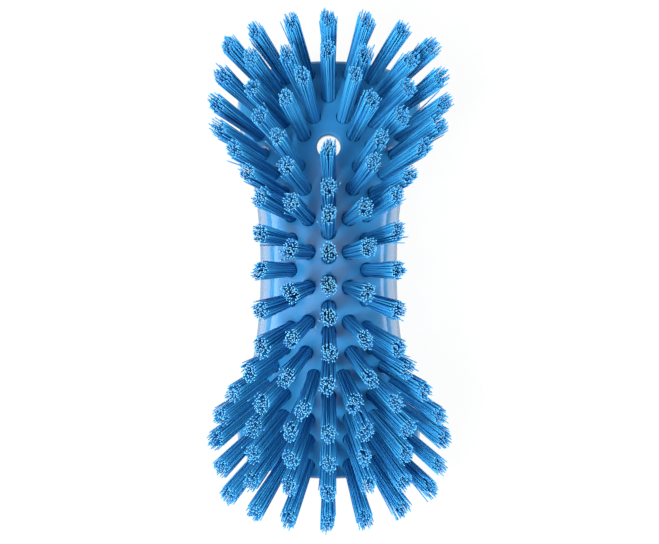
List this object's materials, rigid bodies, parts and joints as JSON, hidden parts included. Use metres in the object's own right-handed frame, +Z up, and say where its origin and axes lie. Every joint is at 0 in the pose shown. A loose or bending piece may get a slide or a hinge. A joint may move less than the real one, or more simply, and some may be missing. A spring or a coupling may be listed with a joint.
{
  "type": "scrub brush",
  "caption": "Hand scrub brush: a waisted plastic block with a domed face, fanned rows of stiff bristle tufts and a hanging hole through one end.",
  "frame": {"origin": "middle of the flat of the back, on the surface that the brush lies on with its bristles up", "axes": "+Z up out of the back through the bristles, +Y along the block towards the hanging hole, +X across the block"},
  "size_m": [0.0772, 0.1615, 0.0619],
  "materials": {
    "block_plastic": "glossy moulded blue plastic",
    "bristle": "satin blue filament"
  },
  "bodies": {
    "root": {"block": "block_plastic", "tuft_row_01": "bristle", "tuft_row_02": "bristle", "tuft_row_03_left": "bristle", "tuft_row_03_right": "bristle", "tuft_row_04_left": "bristle", "tuft_row_04_right": "bristle", "tuft_row_05_left": "bristle", "tuft_row_05_right": "bristle", "tuft_row_06": "bristle", "tuft_row_07": "bristle", "tuft_row_08": "bristle", "tuft_row_09": "bristle", "tuft_row_10": "bristle", "tuft_row_11": "bristle", "tuft_row_12": "bristle", "tuft_row_13": "bristle", "tuft_row_14": "bristle", "tuft_row_15": "bristle", "tuft_row_16": "bristle", "tuft_row_17": "bristle"}
  },
  "joints": []
}
